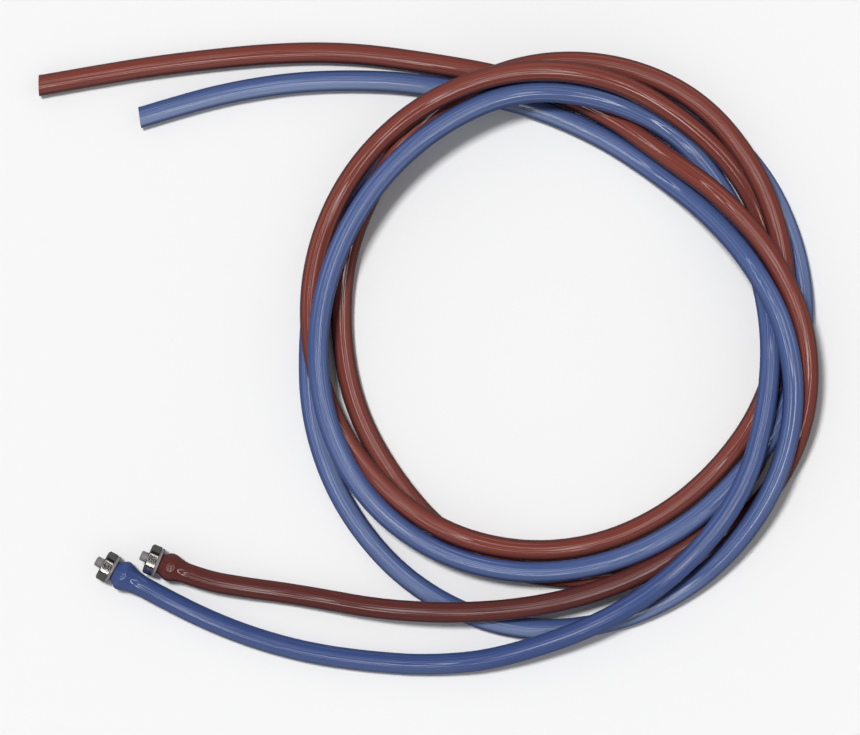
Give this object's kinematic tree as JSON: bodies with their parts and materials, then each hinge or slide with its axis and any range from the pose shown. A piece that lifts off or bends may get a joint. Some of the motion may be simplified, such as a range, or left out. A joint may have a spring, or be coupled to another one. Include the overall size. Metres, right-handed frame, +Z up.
{
  "type": "wort chiller cooling-water hoses",
  "caption": "Red and blue translucent cooling-water hoses for an immersion wort chiller, loosely coiled together, each with a swivel nut fitting and a bare cut end.",
  "frame": {"origin": "centre of the bounding box, on the table that the hoses lie on", "axes": "+Z up from the table, +Y towards the bare hose ends, +X towards the coil"},
  "size_m": [0.4871, 0.3952, 0.0488],
  "materials": {
    "blue_vinyl": "glossy translucent PVC",
    "red_vinyl": "glossy translucent PVC",
    "grey_plastic": "satin",
    "plated_nut": "bright nickel plate",
    "seal_rubber": "matt"
  },
  "bodies": {
    "root": {"blue_hose": "blue_vinyl", "blue_barb_stem": "grey_plastic", "blue_collar": "grey_plastic", "blue_face_seal": "seal_rubber", "red_hose": "red_vinyl", "red_barb_stem": "grey_plastic", "red_collar": "grey_plastic", "red_face_seal": "seal_rubber"},
    "blue_nut": {"blue_union_nut": "plated_nut"},
    "red_nut": {"red_union_nut": "plated_nut"}
  },
  "joints": [
    {"name": "blue_nut_spin", "type": "hinge", "parent": "root", "child": "blue_nut", "pos_m": [-0.19944, -0.13049, 0.0097], "axis": [0.8704, -0.4924, 0], "continuous": true},
    {"name": "red_nut_spin", "type": "hinge", "parent": "root", "child": "red_nut", "pos_m": [-0.17101, -0.12625, 0.012], "axis": [0.9239, -0.3827, 0], "continuous": true}
  ]
}
